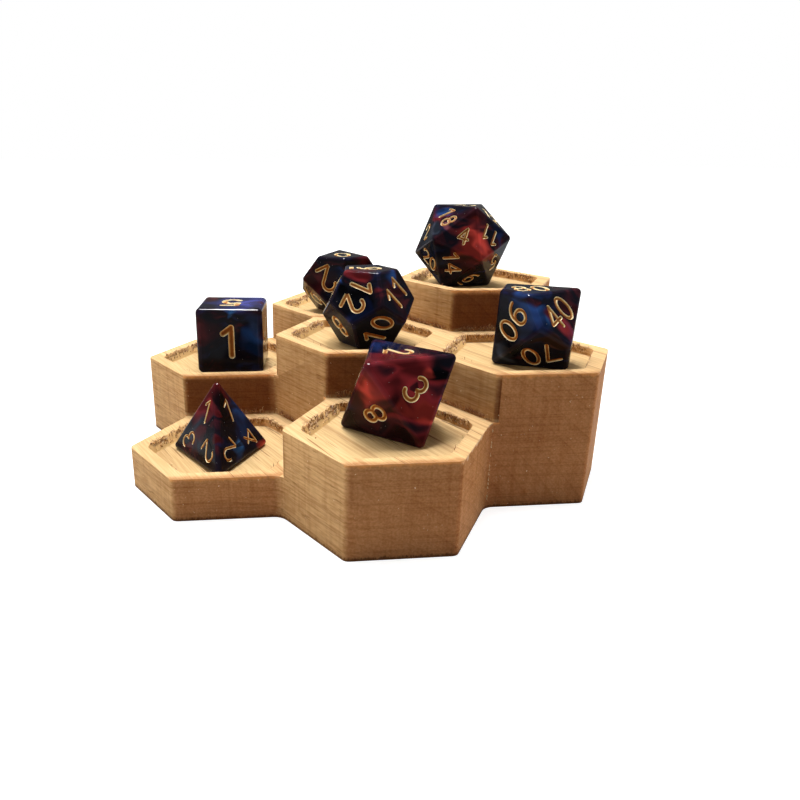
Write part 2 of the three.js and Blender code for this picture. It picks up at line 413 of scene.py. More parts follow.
wood = tint(tree, end_share, LONG_GRAIN, END_GRAIN)
# The upright sides are tinted warmer and darker than the tops, as painted shade.
for share, colour in (
        (side_share, SIDE_SHADE),
        (times(tree, ring_edge, ring_ease, ring_weight, ring_depth), LATE_WOOD),
        (times(tree, fine_edge, fine_ease, 0.17), LATE_WOOD),
        (fade(tree, streaks, 0.35, 0.65, 0.4, 0.0), STREAK),
        (times(tree, pores, pore_depth), PORE),
        (times(tree, flecks, side_share, 0.22), FLECK),
        (times(tree, fade(tree, mottle, 0.42, 0.66), side_share, 0.2), MOTTLE),
        (fade(tree, cloud, -0.16, 0.16, 0.0, 0.22), CLOUD),
        (times(tree, cutter_lines, side_share, 0.34), CUTTER_LINE),
        (times(tree, bands, side_share, 0.22), BAND)):
    wood = tint(tree, share, wood, colour, "MULTIPLY")

# In the trays the back walls are torn and pale, the floors clean but a little darker and cooler,
# and the front rims darkened, partly for wear and partly as painted shadow of the dice.
past_wall, backward, sideways = put(tree, "Group", in_mm, node_tree=honeycomb()).outputs
height = put(tree, "SeparateXYZ", in_mm).outputs[2]
foot = mark(tree, "wall_foot")
below_top = calc(tree, "SUBTRACT", mark(tree, "wall_top"), height)
above_foot = calc(tree, "SUBTRACT", height, foot)
hairs = noise(tree, in_mm, (2.6, 2.6, 0.6), detail=3.0, roughness=0.7)
ragged = off_centre(tree, hairs, 1.6)
clumps = off_centre(tree, noise(tree, in_mm, (0.7, 0.7, 0.4)), 2.6)
frayed = calc(tree, "ADD", ragged, clumps)
outer = fade(tree, past_wall, 0.6, 1.6)
rightward = fade(tree, facing[0], -0.6, 0.6)
steep = calc(tree, "SUBTRACT", fade(tree, level_share, 0.95, 0.75), outer)
steep = calc(tree, "MAXIMUM", steep, 0.0)
paler = times(tree, steep, fade(tree, rightward, 0, 1, 0.2, 0.85))
wood = tint(tree, paler, wood, TRAY_WALL)
floor = times(tree, fade(tree, past_wall, 0.0, -0.6), upward)
wood = tint(tree, floor, wood, TRAY_FLOOR, "MULTIPLY")
# The front rims are darkened, partly for wear and partly as painted shadow of the dice.
rim_wear_and_shade = calc(tree, "ADD", backward, times(tree, frayed, 0.6))
rim_wear_and_shade = times(tree, fade(tree, rim_wear_and_shade, *RIM_WEAR_AND_SHADE_REACH), upward)
wood = tint(tree, rim_wear_and_shade, wood, RIM_WEAR_AND_SHADE, "MULTIPLY")

# A ragged band runs along the back walls, singed brown and ticked with scorch marks.
off_band = calc(tree, "ABSOLUTE", calc(tree, "SUBTRACT", below_top, 0.5))
off_band = calc(tree, "MAXIMUM", calc(tree, "ABSOLUTE", past_wall), off_band)
band = fade(tree, calc(tree, "ADD", off_band, frayed), 1.15, 0.35)
patchy = noise(tree, in_mm, (0.3, 0.3, 0.12), detail=3.0)
patchy = fade(tree, patchy, 0.38, 0.56, 0.2, 1.0)
band = times(tree, band, fade(tree, backward, 0.0, 5.0), patchy)
left_of_middle = fade(tree, sideways, 2.0, -4.0)
singed = times(tree, band, fade(tree, left_of_middle, 0, 1, 0.5, 0.16))
wood = tint(tree, singed, wood, SINGED)
ticks = calc(tree, "SUBTRACT", hairs, times(tree, left_of_middle, 0.04))
ticks = times(tree, band, fade(tree, ticks, 0.44, 0.53, 0.0, 0.95))
wood = tint(tree, ticks, wood, SCORCH_AND_SHADE)
# A thin line of painted shade lies on each tray floor along the foot of its wall.
crease_shade = fade(tree, calc(tree, "ABSOLUTE", calc(tree, "ADD", past_wall, 0.5)), 0.24, 0.1)
crease_shade = times(tree, crease_shade, fade(tree, patchy, 0.3, 0.8), upward, 0.6)
wood = tint(tree, crease_shade, wood, SCORCH_AND_SHADE)

# The upright walls have pale chips and a painted highlight at the right edge, a warm painted
# highlight just below the front one's edge, painted shade where columns meet, and torn feet
# ticked with painted shade.
broken_off = fade(tree, below_top, 0.0, 0.08)
# The top of the right walls is pale, partly from chips and partly as a painted highlight along the
# edge.
right_edge = calc(tree, "SUBTRACT", times(tree, sideways, 0.866), times(tree, backward, 0.5))
right_edge = times(tree, fade(tree, right_edge, *RIGHT_EDGE), broken_off)
chips_and_highlight = fade(tree, calc(tree, "ADD", below_top, frayed), 0.5, 0.2, 0.0, 0.6)
wood = tint(tree, times(tree, right_edge, chips_and_highlight), wood, CHIPS_AND_HIGHLIGHT)
# A warm painted highlight runs just below the front edge, where a rounder edge would catch the
# light.
front_edge = times(tree, fade(tree, backward, *FRONT_EDGE), broken_off)
lip_highlight = calc(tree, "ADD", below_top, times(tree, frayed, 0.45))
lip_highlight = times(tree, front_edge, fade(tree, lip_highlight, 0.75, 0.1), 0.6)
wood = tint(tree, lip_highlight, wood, LIP_HIGHLIGHT)
inner = times(tree, fade(tree, foot, 1.0, 2.0), outer)
# The walls that rise from a lower column are darkened as painted shade, most on their end grain.
inner_wall_shade = calc(tree, "ADD", times(tree, end_share, 0.68), 0.3)
inner_wall_shade = times(tree, inner, inner_wall_shade, fade(tree, below_top, 0.3, 1.2))
wood = tint(tree, inner_wall_shade, wood, INNER_WALL_SHADE, "MULTIPLY")
at_foot = times(tree, fade(tree, calc(tree, "ADD", above_foot, frayed), 1.9, 0.7), inner)
torn_pale = times(tree, at_foot, fade(tree, above_foot, 0.9, 0.1, 0.0, 0.6))
wood = tint(tree, torn_pale, wood, LONG_GRAIN)
# The dark ticks at each wall's foot are partly torn fibres and partly painted shade in the corner.
torn_and_shaded_foot = times(tree, at_foot, fade(tree, hairs, 0.42, 0.58, 0.1, 0.7))
wood = tint(tree, torn_and_shaded_foot, wood, FOOT_SHADE)
specks = put(tree, "TexNoise", in_mm, None, 1.9, 1.0).outputs[0]
wood = tint(tree, times(tree, fade(tree, specks, 0.76, 0.80), side_share), wood, SPECK)
# The block's bottom edge is darkened as a painted contact shadow.
painted_contact_shadow = fade(tree, calc(tree, "ADD", height, ragged), 0.8, 0.3, 0.0, 0.8)
wood = tint(tree, painted_contact_shadow, wood, SCORCH_AND_SHADE)
tree.links.new(wood, shader.inputs["Base Color"])
tree.links.new(fade(tree, streaks, 0.3, 0.7, 0.62, 0.5), shader.inputs["Roughness"])
relief = calc(tree, "ADD", streaks, times(tree, hairs, band))
relief = calc(tree, "SUBTRACT", relief, times(tree, pores, 0.6))
roughen(tree, shader, relief, 0.35, 0.1)
block_mesh.materials.clear()
block_mesh.materials.append(maple)


# Torn fibres stand up along the back walls of the trays and at the feet of the taller walls,
# where the cutter met the grain. They are the wood's own, pale to scorched, and never sanded off.
WALL_FIBRES = ((30, 100), (90, 100), (TORN_BEARING, 120), (210, 12), (330, 12))
CORNER_GAP = 1.2
FOOT_FIBRES = 150
FOOT_SPREAD = 8.2
FOOT_GAP = 0.48
NEIGHBOURS = ((30, 1, 1), (90, 0, 2), (150, -1, 1), (210, -1, -1), (270, 0, -2), (330, 1, -1))
SPLIT_FIBRES = 26
SPLIT_AT = (21.08, -36.5)
SPIKE_ASIDE = (0.31, 0.27, 0.91)
SPIKE_POINTS = 7
SPIKE_KNEE = 0.55
SPIKE_BEND = 0.22
KNEE_THICKNESS = 0.7
FIBRE_TONES = ((0.15, (0.16, 0.06, 0.018)), (0.45, (0.42, 0.19, 0.06)), (0.8, (0.85, 0.62, 0.34)))
chance = np.random.default_rng(7)


def ramp(tree, value, *stops):
    """A colour that changes with a value through (position, colour) stops."""
    node = put(tree, "ValToRGB", value)
    elements = node.color_ramp.elements
    while len(elements) < len(stops):
        elements.new(0.5)
    for element, (position, colour) in zip(elements, stops):
        element.position = position
        element.color = (*colour, 1)
    return node.outputs[0]


def fibre_mesh(name, roots, leans, thickness, tones):
    """Bent three-sided spikes. A spike is a triangle at its root, a smaller one half way up, and
    a tip; each ring lies across the lean, and all the spikes are worked out as one array."""
    turn = np.radians([90, 210, 330])
    lean_unit = leans / np.linalg.norm(leans, axis=1, keepdims=True)
    side = np.cross(lean_unit, SPIKE_ASIDE)
    side /= np.linalg.norm(side, axis=1, keepdims=True)
    other = np.cross(lean_unit, side)
    ring = np.cos(turn)[:, None] * side[:, None] + np.sin(turn)[:, None] * other[:, None]
    ring = ring * thickness[:, None, None]
    bend = side * np.linalg.norm(leans, axis=1, keepdims=True) * SPIKE_BEND
    points = np.concatenate([
        roots[:, None] + ring,
        (roots + leans * SPIKE_KNEE + bend)[:, None] + ring * KNEE_THICKNESS,
        (roots + leans)[:, None]], 1)
    faces = np.array([(0, 2, 1), (0, 1, 4), (0, 4, 3), (1, 2, 5), (1, 5, 4), (2, 0, 3), (2, 3, 5),
                      (3, 4, 6), (4, 5, 6), (5, 3, 6)])
    triangles = faces + SPIKE_POINTS * np.arange(len(roots))[:, None, None]
    mesh = bpy.data.meshes.new(name)
    mesh.from_pydata(points.reshape(-1, 3) * MM, [], triangles.reshape(-1, 3).tolist())
    tone = mesh.attributes.new("tone", "FLOAT", "POINT")
    tone.data.foreach_set("value", np.repeat(tones, SPIKE_POINTS).astype(np.float32))
    return mesh


roots, leans, tones = [], [], []
wall_half = TRAY_RADIUS * math.tan(math.radians(30)) - CORNER_GAP
wall_height = TRAY_DEPTH - FLOOR_LIFT
for right, back, tier in COLUMNS:
    for bearing, count in WALL_FIBRES:
        normal, along = towards(bearing), towards(bearing + 90)
        spread = np.sign(chance.uniform(-1, 1, count)) * chance.uniform(0, 1, count) ** 0.8
        below = chance.uniform(0, 1, count) ** 1.5 * (wall_height - 0.3)
        leaning = TORN_LEAN / wall_height if bearing == TORN_BEARING else 0
        reach = TRAY_RADIUS - 0.02 - below * leaning
        spot = column_middle(right, back) + normal * reach[:, None]
        spot = spot + along * spread[:, None] * wall_half
        length = chance.uniform(0.45, 1.1, count)
        lean = along * chance.uniform(-0.55, 0.55, count)[:, None]
        lean = lean - normal * chance.uniform(0.10, 0.32, count)[:, None]
        climb = length * chance.uniform(0.45, 0.8, count)
        roots.append(np.column_stack([spot, TIER_TOPS[tier] - below]))
        leans.append(np.column_stack([lean * length[:, None], climb]))
        tones.append(chance.uniform(0, 1, count))
tiers = {(right, back): tier for right, back, tier in COLUMNS}
for right, back, tier in COLUMNS:
    for bearing, across, behind in NEIGHBOURS:
        if tiers.get((right + across, back + behind), -1) <= tier:
            continue
        normal, along = towards(bearing), towards(bearing + 90)
        spot = column_middle(right, back) + normal * (PITCH / 2 + FOOT_GAP)
        spot = spot + along * chance.uniform(-FOOT_SPREAD, FOOT_SPREAD, FOOT_FIBRES)[:, None]
        length = chance.uniform(0.5, 1.5, FOOT_FIBRES)
        lean = -normal * chance.uniform(0.1, 0.5, FOOT_FIBRES)[:, None]
        lean = lean + along * chance.uniform(-0.4, 0.4, FOOT_FIBRES)[:, None]
        rise = 0.1 + 0.7 * chance.uniform(0, 1, FOOT_FIBRES) ** 2
        climb = length * chance.uniform(0.4, 0.9, FOOT_FIBRES)
        roots.append(np.column_stack([spot, TIER_TOPS[tier] + rise]))
        leans.append(np.column_stack([lean * length[:, None], climb]))
        tones.append(chance.uniform(0.1, 0.55, FOOT_FIBRES))
spot = np.tile(SPLIT_AT, (SPLIT_FIBRES, 1))
roots.append(np.column_stack([spot, chance.uniform(1.5, 17.5, SPLIT_FIBRES)]))
leans.append(np.column_stack([
    chance.uniform(-0.04, 0.04, SPLIT_FIBRES), np.full(SPLIT_FIBRES, -0.03),
    chance.uniform(0.5, 1.3, SPLIT_FIBRES)]))
tones.append(chance.uniform(0.6, 0.85, SPLIT_FIBRES))
roots, leans, tones = np.concatenate(roots), np.concatenate(leans), np.concatenate(tones)
thickness = chance.uniform(0.08, 0.15, len(roots))
torn_fibres = piece_from(
    "torn_fibres", fibre_mesh("torn_fibres", roots, leans, thickness, tones), "stand", "maple")
torn_grain, tree, shader = new_material("torn_grain")
speck = put(tree, "TexNoise", place_in_mm(tree), None, 2.5, 2.0).outputs[0]
tone = calc(tree, "ADD", times(tree, mark(tree, "tone"), 0.8), times(tree, speck, 0.3))
tree.links.new(ramp(tree, tone, *FIBRE_TONES), shader.inputs["Base Color"])
shader.inputs["Roughness"].default_value = 0.75
torn_fibres.data.materials.append(torn_grain)


# The dice are cast in marbled resin and polished, with softly rounded edges. Each has the plain
# faces of its regular solid, and its numbers are cut in as round-bottomed grooves.
CORE_ROUND = 0.6
SAME_FACE = 0.9999
SAME_CORNER = 0.02
ROUND_STEPS = 6
CORNER_STEPS = 3
FACE_SHARE = 2.0
EDGE_SHARE = 3.0
PAINT_SHARE = 0.985
JOIN_REACH = 0.0002


def slerp(start, end, share):
    """Directions along the arc from start to end, at each share of its angle."""
    angle = np.arccos(np.clip(np.sum(start * end, -1, keepdims=True), -1, 1))
    angle = np.maximum(angle, 1e-9)
    return (np.sin((1 - share) * angle) * start + np.sin(share * angle) * end) / np.sin(angle)


def flat_faces(node, count):
    """The normal and the corners of each flat face of a die. The triangles are put together by
    their normals, and the planes with the most area are the faces, from the top one downwards and
    round by bearing. Corners go round the middle anticlockwise, from the farthest, or the highest
    of those."""
    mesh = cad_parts[node].data
    points = np.empty(len(mesh.vertices) * 3)
    mesh.vertices.foreach_get("co", points)
    mesh.calc_loop_triangles()
    triangles = np.empty(len(mesh.loop_triangles) * 3, np.int32)
    mesh.loop_triangles.foreach_get("vertices", triangles)
    points, triangles = points.reshape(-1, 3) / MM, triangles.reshape(-1, 3)
    a, b, c = (points[triangles[:, k]] for k in range(3))
    cross = np.cross(b - a, c - a)
    area = np.linalg.norm(cross, axis=1)
    normal = cross / np.maximum(area, 1e-12)[:, None]
    planes = []
    for i in np.argsort(-area):
        plane = next((p for p in planes if p["normal"] @ normal[i] > SAME_FACE), None)
        if plane is None:
            planes.append({"normal": normal[i], "area": area[i], "members": [i]})
        else:
            plane["area"] += area[i]
            plane["members"].append(i)
    planes = sorted(planes, key=lambda plane: -plane["area"])[:count]
    faces = []
    for plane in planes:
        own = np.unique(points[triangles[plane["members"]].ravel()].round(4), axis=0)
        middle = own.mean(0)
        reach = np.linalg.norm(own - middle, axis=1).round(1)
        across = own[np.argmax(100 * reach + own[:, 2] + 1e-3 * own[:, 0])] - middle
        across -= plane["normal"] * (across @ plane["normal"])
        across /= np.linalg.norm(across)
        side = np.cross(plane["normal"], across)
        bearing = np.arctan2((own - middle) @ side, (own - middle) @ across) + 1e-3
        faces.append((plane["normal"], own[np.argsort(bearing % math.tau)]))
    return sorted(faces, key=lambda face: (
        -round(face[0][2], 2), round(math.atan2(face[0][1], face[0][0]) % (math.tau - 1e-3), 2)))


def arc(x, y, wide, high, start, end, steps=14):
    """Points on an ellipse round (x, y), from a start angle to an end angle in degrees."""
    turn = np.radians(np.linspace(start, end, steps))
    return np.stack([x + wide * np.cos(turn), y + high * np.sin(turn)], 1)


def line(*points):
    """A bent line through the points."""
    return np.array(points, float)


# The numbers are an engraver's plain strokes, cut with a round-nosed tool. Each digit is drawn
# one unit high, with its middle at the origin. The points beside a stroke lie at the groove
# levels, which are shares of its half width.
STROKES = {
    "0": [arc(0, 0, 0.25, 0.44, 90, 450, 30)],
    "1": [line((-0.19, 0.25), (-0.04, 0.36), (0.06, 0.44), (0.06, -0.44))],
    "2": [np.vstack([arc(0, 0.2, 0.25, 0.24, 165, -35), line((-0.25, -0.44), (0.27, -0.44))])],
    "3": [np.vstack([arc(-0.02, 0.215, 0.21, 0.225, 150, -80),
                     arc(-0.02, -0.21, 0.25, 0.23, 80, -155)])],
    "4": [line((0.12, -0.44), (0.12, 0.44), (-0.28, -0.17), (0.29, -0.17))],
    "5": [np.vstack([line((0.24, 0.44), (-0.17, 0.44), (-0.2, 0.05)),
                     arc(0, -0.15, 0.25, 0.29, 130, -145)])],
    "6": [np.vstack([arc(0.16, 0.02, 0.4, 0.42, 88, 185),
                     arc(0, -0.17, 0.24, 0.27, 180, 540, 24)])],
    "7": [line((-0.25, 0.44), (0.25, 0.44), (-0.06, -0.44))],
    "8": [arc(0, 0.21, 0.2, 0.22, 90, 450, 24), arc(0, -0.2, 0.25, 0.24, 90, 450, 24)],
    "9": [np.vstack([arc(-0.16, -0.02, 0.4, 0.42, 268, 365),
                     arc(0, 0.17, 0.24, 0.27, 0, 360, 24)])],
    "_": [line((-0.2, 0), (0.2, 0))],
}
STROKE_SPACING = 0.16
GROOVE_LEVELS = (0.0, 0.5, 0.82, 1.0, 1.3)
GROOVE_SLOPE = 2.2
GROOVE_DEPTH_SHARE = 0.75
GROOVE_SLACK = 0.012
LAP = 6.3
FEW_CORNERS = 6
DIGIT_ADVANCE = 0.74
BAR_DROP = 0.72


def evenly(points):
    """The same bent line with points at an even spacing, worked out from its length so far."""
    lengths = np.linalg.norm(np.diff(points, axis=0), axis=1)
    so_far = np.concatenate([[0], np.cumsum(lengths)])
    stops = np.linspace(0, so_far[-1], max(2, int(so_far[-1] / STROKE_SPACING) + 1))
    return np.stack([np.interp(stops, so_far, points[:, k]) for k in (0, 1)], 1)


def number_strokes(text, height):
    """The strokes of a number, side by side and centred, with a bar under 6 and 9."""
    strokes = []
    digits = text.rstrip("_")
    for i, digit in enumerate(digits):
        shift = np.array([(i - (len(digits) - 1) / 2) * DIGIT_ADVANCE, 0])
        strokes += [(stroke + shift) * height for stroke in STROKES[digit]]
    if text.endswith("_"):
        strokes += [(stroke - (0, BAR_DROP)) * height for stroke in STROKES["_"]]
    return strokes


def nearest_on(strokes, points):
    """For each point, its distance from the nearest stroke and the direction away from it."""
    starts = np.concatenate([stroke[:-1] for stroke in strokes])
    ends = np.concatenate([stroke[1:] for stroke in strokes])
    along = ends - starts
    share = np.einsum("pij,ij->pi", points[:, None] - starts, along) / np.sum(along * along, 1)
    foot = starts + np.clip(share, 0, 1)[..., None] * along
    away = points[:, None] - foot
    distance = np.linalg.norm(away, axis=2)
    best = np.argmin(distance, 1)
    rows = np.arange(len(points))
    near = distance[rows, best]
    return near, away[rows, best] / np.maximum(near, 1e-9)[:, None]


def groove_points(strokes, half_width):
    """Points on the strokes and on lines beside them. The lines run at each groove level, and
    circles close the ends and the corners; points that fall nearer to a stroke are left out."""
    found = []
    for stroke in strokes:
        middle = evenly(stroke)
        ahead = np.gradient(middle, axis=0)
        ahead /= np.linalg.norm(ahead, axis=1, keepdims=True)
        beside = np.stack([-ahead[:, 1], ahead[:, 0]], 1)
        for level in GROOVE_LEVELS:
            reach = level * half_width
            if reach == 0:
                found.append(middle)
                continue
            steps = max(8, int(LAP * reach / STROKE_SPACING))
            turn = np.linspace(0, math.tau, steps, endpoint=False)
            circle = np.stack([np.cos(turn), np.sin(turn)], 1) * reach
            rounded = [middle[0], middle[-1], *(stroke[1:-1] if len(stroke) < FEW_CORNERS else [])]
            ring = np.concatenate([middle + beside * reach, middle - beside * reach,
                                   *(corner + circle for corner in rounded)])
            near, _ = nearest_on(strokes, ring)
            found.append(ring[near > reach - GROOVE_SLACK])
    return np.concatenate(found)


def joined(values):
    """Values that follow each other by less than the joining reach, made equal to the first."""
    order = np.argsort(values)
    ordered = values[order]
    starts = np.concatenate([[True], np.diff(ordered) > JOIN_REACH])
    result = np.empty_like(values)
    result[order] = ordered[starts][np.cumsum(starts) - 1]
    return result


def grid_part(place, direction):
    """A grid of places as triangles that face outwards, with the directions at their corners."""
    quads = [(0, 0), (1, 0), (1, 1), (0, 0), (1, 1), (0, 1)]
    rows, columns = direction.shape[0] - 1, direction.shape[1] - 1
    i, j = np.meshgrid(np.arange(rows), np.arange(columns), indexing="ij")
    spots, picks = (np.stack([grid[i + di, j + dj] for di, dj in quads], 2).reshape(-1, 3, 3)
                    for grid in (place, direction))
    turned = np.sum(np.cross(spots[:, 1] - spots[:, 0], spots[:, 2] - spots[:, 0])
                    * picks.sum(1), 1) < 0
    spots[turned] = spots[turned][:, ::-1]
    picks[turned] = picks[turned][:, ::-1]
    return spots, picks, np.full(spots.shape[:2], EDGE_SHARE), np.zeros(len(spots), bool)


def rounded_parts(normals, index, cores, edge_round):
    """The parts between the faces. Each edge is a strip of directions turned from one face's
    normal to the next, and each corner a fan of arcs that close on its own direction; both are
    pushed out from the core by the edge rounding."""
    turn = np.linspace(0, 1, ROUND_STEPS + 1)[:, None]
    inward = np.linspace(0, 1, CORNER_STEPS + 1)[:, None, None]
    parts = []
    for one, two in combinations(range(len(normals)), 2):
        shared = [corner for corner in index[one] if corner in index[two]]
        if len(shared) != 2:
            continue
        bend = slerp(normals[one][None], normals[two][None], turn)
        direction = np.repeat(bend[:, None], 2, 1)
        parts.append(grid_part(cores[shared] + direction * edge_round, direction))
        for corner in shared:
            middle = np.sum([normal for normal, own in zip(normals, index) if corner in own], 0)
            middle /= np.linalg.norm(middle)
            fan = slerp(bend[None], middle[None, None], inward)
            parts.append(grid_part(cores[corner] + fan * edge_round, fan))
    return parts


def face_part(corners, normal, marks, height, half_width):
    """A face with its numbers: its flat corners and the points of its grooves, joined by
    triangles. A groove's depth follows a half ellipse across its stroke."""
    centre = corners.mean(0)
    flat_x = corners[0] - centre
    flat_x /= np.linalg.norm(flat_x)
    flat_y = np.cross(normal, flat_x)
    outline = np.stack([(corners - centre) @ flat_x, (corners - centre) @ flat_y], 1)
    strokes = []
    for text, heading, right, up in marks:
        upward = towards(heading)
        rightward = np.array([upward[1], -upward[0]])
        for stroke in number_strokes(text, height):
            strokes.append((stroke[:, :1] + right) * rightward + (stroke[:, 1:] + up) * upward)
    spots = np.concatenate([outline, groove_points(strokes, half_width)])
    spots, _, triangles, *_ = geometry.delaunay_2d_cdt(
        [Vector(spot) for spot in spots], [], [], 0, 1e-4)
    spots = np.array([tuple(spot) for spot in spots])
    triangles = np.array(triangles)
    near, away = nearest_on(strokes, spots)
    share = near / half_width
    inside = np.sqrt(np.clip(1 - share**2, 0, 1))
    depth = half_width * GROOVE_DEPTH_SHARE * inside
    place = centre + spots[:, :1] * flat_x + spots[:, 1:] * flat_y - depth[:, None] * normal
    slope = np.minimum(GROOVE_DEPTH_SHARE * share / np.maximum(inside, 1e-3), GROOVE_SLOPE)
    lean = away[:, :1] * flat_x + away[:, 1:] * flat_y
    tilted = normal - slope[:, None] * lean
    tilted /= np.linalg.norm(tilted, axis=1, keepdims=True)
    middle_near, _ = nearest_on(strokes, spots[triangles].mean(1))
    paint = middle_near < half_width * PAINT_SHARE
    directions = np.where(paint[:, None, None], tilted[triangles], normal)
    return place[triangles], directions, np.minimum(share, FACE_SHARE)[triangles], paint


def die_mesh(name, node, count, numbers, height, half_width, edge_round):
    """A rounded die with its numbers. The modelled die's flat corners are drawn in to a core, by
    as much as leaves the faces where they are once the softer rounding is put round it. All the
    parts are then joined into one closed mesh."""
    faces = flat_faces(node, count)
    normals = [normal for normal, _ in faces]
    own_cores = [corners - normal * CORE_ROUND for normal, corners in faces]
    centre = np.mean(np.concatenate(own_cores), 0)
    reach = (own_cores[0][0] - centre) @ normals[0]
    shrink = (reach + CORE_ROUND - edge_round) / reach
    own_cores = [centre + (own - centre) * shrink for own in own_cores]
    cores = []
    for core in np.concatenate(own_cores):
        if not any(np.linalg.norm(core - other) < SAME_CORNER for other in cores):
            cores.append(core)
    cores = np.array(cores)
    index = [[int(np.argmin(np.linalg.norm(cores - core, axis=1))) for core in own]
             for own in own_cores]
    parts = rounded_parts(normals, index, cores, edge_round)
    for normal, own, marks in zip(normals, index, numbers):
        corners = cores[own] + normal * edge_round
        parts.append(face_part(corners, normal, marks, height, half_width))

    points, directions, across, painted = (np.concatenate(rows) for rows in zip(*parts))
    points = np.stack([joined(axis) for axis in points.reshape(-1, 3).T], 1)
    points, triangles = np.unique(points, axis=0, return_inverse=True)
    triangles = triangles.reshape(-1, 3)
    whole = np.all(triangles != np.roll(triangles, 1, 1), 1)
    mesh = bpy.data.meshes.new(name)
    mesh.from_pydata(points * MM, [], triangles[whole].tolist())
    mesh.polygons.foreach_set("material_index", painted[whole].astype(np.int32))
    mesh.polygons.foreach_set("use_smooth", np.ones(np.count_nonzero(whole), bool))
    stroke_share = mesh.attributes.new("stroke_share", "FLOAT", "CORNER")
    stroke_share.data.foreach_set("value", across[whole].ravel().astype(np.float32))
    mesh.update()
    mesh.normals_split_custom_set(directions[whole].reshape(-1, 3).tolist())
    return mesh


# The numbers are filled with gold paint, brushed on and wiped off the polished faces. It is matt,
# painted dark along the middle of a groove as shade and pale at the edges as a highlight.
PAINT_SHADE_TO_HIGHLIGHT = ((0.2, (0.25, 0.085, 0.018)), (0.5, (0.40, 0.155, 0.035)),
         (0.78, (0.80, 0.55, 0.22)), (0.95, (0.92, 0.82, 0.52)))
gold_paint, tree, shader = new_material("gold_paint")
shader.inputs["Roughness"].default_value = 0.5
shader.inputs["Specular IOR Level"].default_value = 0.05
in_mm = place_in_mm(tree)
blotch = off_centre(tree, noise(tree, in_mm, (1, 1, 1), 1.1, 3.0), 0.5)
share = calc(tree, "ADD", mark(tree, "stroke_share"), blotch)
tree.links.new(ramp(tree, share, *PAINT_SHADE_TO_HIGHLIGHT), shader.inputs["Base Color"])
roughen(tree, shader, noise(tree, in_mm, (1, 1, 1), 6.0), 0.3, 0.06)

# The resin was poured in dark colours and stirred, so black drifts to maroon and navy, brighter
# swirls curl through it, and a little glitter hangs in it. Its softly rounded edges are painted
# lighter, as a faint highlight.
DRIFT = ((0.34, (0.008, 0.012, 0.040)), (0.45, (0.005, 0.006, 0.012)),
         (0.58, (0.006, 0.005, 0.009)), (0.70, (0.045, 0.008, 0.012)))
DUST = (0.5, 0.48, 0.46)
EDGE_GAIN = (1.22, 1.22, 1.22)
EDGE_GLOW = (0.0050, 0.0014, 0.0020)
SWIRLS = {
    "red": (0.19, 0.017, 0.021), "bright_red": (0.42, 0.043, 0.033),
    "dark_red": (0.11, 0.010, 0.013), "maroon": (0.052, 0.008, 0.011),
    "brown": (0.05, 0.020, 0.012), "copper": (0.20, 0.055, 0.028), "navy": (0.007, 0.014, 0.055),
    "blue": (0.012, 0.040, 0.14), "bright_blue": (0.03, 0.13, 0.38),
    "violet": (0.045, 0.050, 0.21), "slate": (0.03, 0.04, 0.06), "pink": (0.34, 0.10, 0.13),
    "black": (0.003, 0.003, 0.005), "char": (0.022, 0.004, 0.007)}


def marbled_group():
    """A group for the resin between the bright swirls. A place is pushed about by slow noise, so
    that everything laid on it curls. The colour drifts from black to maroon and navy."""
    group, start, end = new_group(
        "marbled", {"Place in mm": "Vector"},
        {"Curled place": "Vector", "Colour": "Color", "Streaks": "Float", "Dust": "Float"})
    curled = start[0]
    for scale, detail, reach in ((0.13, 1.0, 8), (0.3, 0.0, 1.6)):
        push = put(group, "TexNoise", curled, None, scale, detail).outputs["Color"]
        push = vector_calc(group, "SUBTRACT", push, (0.5, 0.5, 0.5))
        push = vector_calc(group, "MULTIPLY", push, (reach, reach, reach))
        curled = vector_calc(group, "ADD", curled, push)
    drift = noise(group, curled, (0.16, 0.16, 0.3), 1.0, 3.0)
    streaks = noise(group, curled, (0.13, 0.17, 0.30), 1.0, 0.6)
    specks = put(group, "TexVoronoi", start[0], None, 1.3).outputs
    rare = put(group, "SeparateColor", specks["Color"]).outputs[0]
    rare = calc(group, "GREATER_THAN", rare, 0.82)
    small = calc(group, "LESS_THAN", specks["Distance"], 0.075)
    results = curled, ramp(group, drift, *DRIFT), streaks, times(group, small, rare)
    for result, socket in zip(results, end):
        group.links.new(result, socket)
    return group


def swirl_group():
    """A group that lays one bright swirl over a colour: full at its middle, streaked further out,
    and gone at its reach."""
    group, start, end = new_group(
        "swirl", {"Curled place": "Vector", "Streaks": "Float", "Middle": "Vector",
                  "Reach": "Float", "Under": "Color", "Swirl": "Color"}, {"Colour": "Color"})
    away = vector_size(group, "DISTANCE", start["Curled place"], start["Middle"])
    share = calc(group, "DIVIDE", away, start["Reach"])
    share = calc(group, "ADD", share, off_centre(group, start["Streaks"], 2.6))
    cover = fade(group, share, 1.15, 0.45)
    silk = fade(group, start["Streaks"], 0.38, 0.62, 0.35, 1.25)
    shade = vector_calc(group, "MULTIPLY", start["Swirl"], silk)
    group.links.new(tint(group, cover, start["Under"], shade), end[0])
    return group


MARBLED = marbled_group()
SWIRL = swirl_group()


